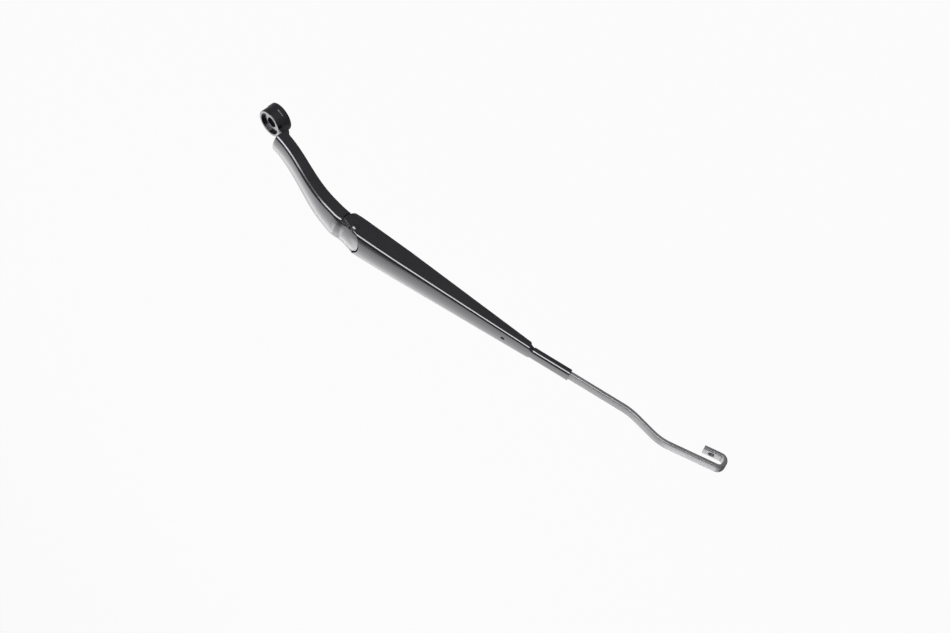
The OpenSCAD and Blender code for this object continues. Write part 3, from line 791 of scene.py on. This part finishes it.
def finish_tree(tree, given, last):
    """The end of each tree: realised instances, then the material."""
    real = tree.nodes.new("GeometryNodeRealizeInstances")
    coat = tree.nodes.new("GeometryNodeSetMaterial")
    out = tree.nodes.new("NodeGroupOutput")
    tree.links.new(last.outputs[0], real.inputs[0])
    tree.links.new(real.outputs[0], coat.inputs["Geometry"])
    tree.links.new(given.outputs["Material"], coat.inputs["Material"])
    tree.links.new(coat.outputs[0], out.inputs[0])


def grown(source, tree, inputs):
    """The plain mesh that the tree makes of source, which is used up."""
    step = source.modifiers.new("grow", "NODES")
    step.node_group = tree
    for item in tree.interface.items_tree:
        if item.item_type == "SOCKET" and item.in_out == "INPUT" and item.name in inputs:
            step[item.identifier] = inputs[item.name]
    source.update_tag()
    bpy.context.view_layer.update()
    graph = bpy.context.evaluated_depsgraph_get()
    mesh = bpy.data.meshes.new_from_object(source.evaluated_get(graph))
    bpy.data.objects.remove(source)
    made = bmesh.new()
    made.from_mesh(mesh)
    bpy.data.meshes.remove(mesh)
    return finished(made)


rod_paint, shader, start = new_material("rod_satin_black")
soft = softened(start, 0.25)
worn = edge_share(start, soft) * start.noise(380, 4).between(0.68, 0.9)
drawn = start.noise(420, 3, (0.12, 1, 1))
flow = start.noise(60, 3).between(0.35, 0.7)
colour = worn.blend(flow.blend((0.1, 0.1, 0.102), (0.125, 0.125, 0.127)), (0.15, 0.15, 0.15))
bumped = start.node("ShaderNodeBump", 0, {},
                    {"Height": start.noise(1300, 2) + drawn * 0.8, "Normal": soft,
                     "Strength": 1.0, "Distance": 0.002 * MM})
plug(shader, Base_Color=colour, Roughness=flow * 0.05 + worn * 0.04 + 0.2, Normal=bumped, IOR=1.45,
     Specular_Tint=(0.95, 0.93, 1, 1))

rod = grown(path_object(rod_path, on_arm), bar_tree(),
            {"Width": rod_w * MM, "Thickness": rod_t * MM, "Edge radius": rod_edge_r * MM,
             "Material": rod_paint})
spring_hole = on_arm @ Matrix.Translation((rod_start + spring_hole_at, 0, rod_inner_z))
stake_hole = stake @ Matrix.Translation((0, 0, rod_z))
hook_hole = on_arm @ leg_end @ Matrix.Translation((-hook_hole_inset, 0, 0))
carved(rod, drum(spring_hole_r, 2 * rod_t, spring_hole, 48))
carved(rod, drum(stake_r + stake_play, 2 * rod_t, stake_hole, 48))
carved(rod, drum(hook_hole_r, 2 * rod_t, hook_hole, 64))
dressed(rod, "hook_rod_bar", rod_paint)
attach(rod, "arm")
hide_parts("hook_rod")

# Hinge rivet. A turned steel pin set in the channel's walls. Each end is spun down to a low
# dome on a thin skirt. It is painted over with the channel.
rivet_r = 2.5
rivet_head_r = 3.3
rivet_head_h = 0.9
skirt_h = 0.08
skirt_draft = 0.05
dome_r = 2.7
dome_steps = 12
dome_h = rivet_head_h - skirt_h
cap_r = (dome_r ** 2 + dome_h ** 2) / (2 * dome_h)
dome = [(rivet_head_r, 0), (rivet_head_r - skirt_draft, skirt_h)]
for i in range(dome_steps + 1):
    r = dome_r * (1 - i / dome_steps)
    dome.append((r, skirt_h + dome_h - cap_r + sqrt(cap_r ** 2 - r ** 2)))
rivet_profile = [(rivet_r, 0), (rivet_r, channel_w / 2)] + [(r, channel_w / 2 + z) for r, z in dome]
whole_rivet = [(r, -z) for r, z in reversed(rivet_profile)] + rivet_profile[1:]
rivet = turned(whole_rivet, at_hinge @ across, 64)
dressed(rivet, "hinge_rivet", gloss_paint("rivet_enamel", 0.006, 800))
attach(rivet, "arm")
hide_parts("pivot_rivet")

# Tension spring. Hard drawn steel wire of 1.7 mm, close wound, with a hook loop at each end,
# one through the link's eye and one through the rod's inner end. It is oiled and bare.
wire_r = 0.85
spring_od = 7.5
turns = 27
turn_steps = 18
loop_r = 3.2
loop_lead = 4
loop_step = 0.17
lead_step = 0.2
lead_start = 0.15
link_len = 24
hooked_at = 4.35
spring_end = (rod_start + hooked_at, rod_inner_z)
reach = hypot(spring_end[0] - anchor_place[0], spring_end[1] - anchor_place[1])
line_angle = atan2(spring_end[1] - anchor_place[1], spring_end[0] - anchor_place[0])
coil_r = spring_od / 2 - wire_r
first_loop = link_len + loop_r
last_loop = reach - loop_r
coil_start = first_loop + loop_lead
coil_len = last_loop - loop_lead - coil_start
lead = spread(lead_start, pi / 2 - lead_start, lead_step)
wire_path = [(first_loop + loop_r * cos(a), loop_r * sin(a), 0)
             for a in spread(radians(330), pi / 2, loop_step)]
for a in lead:
    r = mix(loop_r, coil_r, a / (pi / 2))
    wire_path.append((first_loop + loop_lead * sin(a), r * cos(a), r * sin(a)))
for share in spread(0, 1, 1 / (turn_steps * turns)):
    a = pi / 2 + 2 * pi * (turns - 0.25) * share
    wire_path.append((coil_start + coil_len * share, coil_r * cos(a), coil_r * sin(a)))
for a in lead:
    r = mix(coil_r, loop_r, a / (pi / 2))
    wire_path.append((last_loop - loop_lead * cos(a), r * cos(a), r * sin(a)))
wire_path += [(last_loop + loop_r * cos(a), 0, loop_r * sin(a))
              for a in spread(pi / 2, radians(-150), loop_step)]
on_link = on_anchor @ Matrix.Rotation(-line_angle, 4, "Y")


def wire_tree():
    """Geometry nodes that sweep a round wire along a line."""
    tree = bpy.data.node_groups.new("round_wire", "GeometryNodeTree")
    tree.interface.new_socket("Geometry", in_out="INPUT", socket_type="NodeSocketGeometry")
    tree.interface.new_socket("Wire radius", in_out="INPUT", socket_type="NodeSocketFloat")
    tree.interface.new_socket("Material", in_out="INPUT", socket_type="NodeSocketMaterial")
    tree.interface.new_socket("Geometry", in_out="OUTPUT", socket_type="NodeSocketGeometry")
    given = tree.nodes.new("NodeGroupInput")
    section = tree.nodes.new("GeometryNodeCurvePrimitiveCircle")
    section.inputs["Resolution"].default_value = 12
    tree.links.new(given.outputs["Wire radius"], section.inputs["Radius"])
    sweep = tree.nodes.new("GeometryNodeCurveToMesh")
    sweep.inputs["Fill Caps"].default_value = True
    tree.links.new(given.outputs["Geometry"], sweep.inputs["Curve"])
    tree.links.new(section.outputs[0], sweep.inputs["Profile Curve"])
    finish_tree(tree, given, sweep)
    return tree


spring_steel = zinc_plate("spring_wire_steel", 0.36, (1, 1, 1))
spring = grown(path_object(wire_path, on_link), wire_tree(),
               {"Wire radius": wire_r * MM, "Material": spring_steel})
dressed(spring, "tension_spring_coil", spring_steel, 50)
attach(spring, "spring_line")
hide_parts("tension_spring")

# Floor. A large pale sweep well below the arm, white to the camera but for a soft shadow.
low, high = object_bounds()
floor_drop = 0.22
floor_half = 6
sheet = bmesh.new()
sheet.faces.new([sheet.verts.new((x * floor_half, y * floor_half, low.z - floor_drop))
                 for x, y in ((-1, -1), (1, -1), (1, 1), (-1, 1))])
floor = finished(sheet)
floor_paint, shader, start = new_material("pale_floor")
tree = start.tree
plug(shader, Base_Color=(0.2, 0.2, 0.2, 1), Roughness=0.8)
glow = start.node("ShaderNodeEmission", 0, {}, {"Color": (1, 1, 1, 1), "Strength": 1.0})
glossy = start.node("ShaderNodeLightPath", "Is Glossy Ray")
through_glass = start.node("ShaderNodeLightPath", "Is Transmission Ray")
white_in_view = 0.95
white_in_mirrors = 0.05
seen = (start.node("ShaderNodeLightPath", "Is Camera Ray") * white_in_view
        + (glossy + through_glass) * white_in_mirrors)
both = start.node("ShaderNodeMixShader", 0, {}, {0: seen, 1: start, 2: glow})
tree.links.new(both.socket, tree.nodes["Material Output"].inputs["Surface"])
dressed(floor, "floor", floor_paint)

# Light. Three soft boxes stand behind the arm: high ones for the head and the channel, and a
# long low one. A long strip hangs high in front, and the sky is dim. Only glossy paint shows
# tip_box, the shine on the hook, and edge_strip, the bright lines along the near edges.
centre = (low + high) / 2


def soft_box(name, direction, distance, width, height, radiance, lights_matt=True):
    """An area lamp that faces the arm's middle. radiance is what a mirror would show."""
    lamp = bpy.data.lights.new(name, "AREA")
    lamp.shape = "RECTANGLE"
    lamp.size = width
    lamp.size_y = height
    lamp.energy = radiance * pi * width * height
    made = bpy.data.objects.new(name, lamp)
    away = Vector(direction).normalized()
    made.location = centre + away * distance
    made.rotation_euler = away.to_track_quat("Z", "Y").to_euler()
    made.visible_diffuse = lights_matt
    bpy.context.scene.collection.objects.link(made)


# Each has its direction from the arm, its distance, width and height in metres, and its radiance.
soft_box("head_box", (-0.4, -0.72, 0.57), 1.7, 1.15, 1.5, 3.1)
soft_box("low_box", (0.0, -0.99, 0.07), 1.8, 2.4, 0.6, 1.2)
soft_box("back_box", (0.2, -0.85, 0.49), 1.7, 1.35, 1.15, 2.3)
soft_box("tip_box", (0.33, -0.86, 0.39), 1.69, 0.34, 0.5, 2.8, lights_matt=False)
soft_box("front_strip", (-0.12, 0.8, 0.6), 1.9, 1.9, 0.66, 13)
soft_box("edge_strip", (-0.12, 0.8, 0.6), 2.0, 2.2, 1.6, 10, lights_matt=False)

world = bpy.data.worlds.new("room")
bpy.context.scene.world = world
world.use_nodes = True
tree = world.node_tree
sky = Wire(tree, tree.nodes["Background"].outputs[0])
outward = sky.node("ShaderNodeTexCoord", "Generated")
height = sky.node("ShaderNodeSeparateXYZ", "Z", {}, {0: outward})
dimmed_overhead = 0.75
level = 1 - height.between(0.1, 0.75) * dimmed_overhead
direct = sky.node("ShaderNodeLightPath", "Is Camera Ray")
mirror = sky.node("ShaderNodeLightPath", "Is Glossy Ray")
matt_level = 0.15
strength = direct + mirror * level + (1 - direct) * (1 - mirror) * matt_level
tree.links.new(strength.socket, tree.nodes["Background"].inputs["Strength"])
tree.nodes["Background"].inputs["Color"].default_value = (1, 1, 1, 1)

# Camera. It stands 3 m off on the near side, above the arm, rolled so that the arm runs from
# the upper left to the lower right of the picture. The middle of the boss's rim lies at rim_px.
picture_w = 950
picture_h = 633
focal_px = 3990
distance = 3.0
back = Vector((0.245, 0.873, 0.424)).normalized()
rim_px = (269.2, 123.9)
rim_place = Vector((0, 0, recess_depth * MM))
arm_way_px = (0.649, 0.7205)
level_right = Vector((0, 0, 1)).cross(back).normalized()
level_up = back.cross(level_right)
roll = atan2(-arm_way_px[1], arm_way_px[0]) - atan2(level_up.x, level_right.x)
right = cos(roll) * level_right - sin(roll) * level_up
up = sin(roll) * level_right + cos(roll) * level_up
aside = (rim_px[0] - picture_w / 2) / focal_px
above = (picture_h / 2 - rim_px[1]) / focal_px
lens = bpy.data.cameras.new("camera")
lens.sensor_width = 36
lens.lens = focal_px / picture_w * lens.sensor_width
lens.clip_start = 0.1
lens.clip_end = 30
camera = bpy.data.objects.new("camera", lens)
bpy.context.scene.collection.objects.link(camera)
eye = rim_place + distance * (back - aside * right - above * up)
camera.matrix_world = Matrix.Translation(eye) @ Matrix((right, up, back)).transposed().to_4x4()
bpy.context.scene.camera = camera
bpy.context.scene.view_settings.view_transform = "Standard"
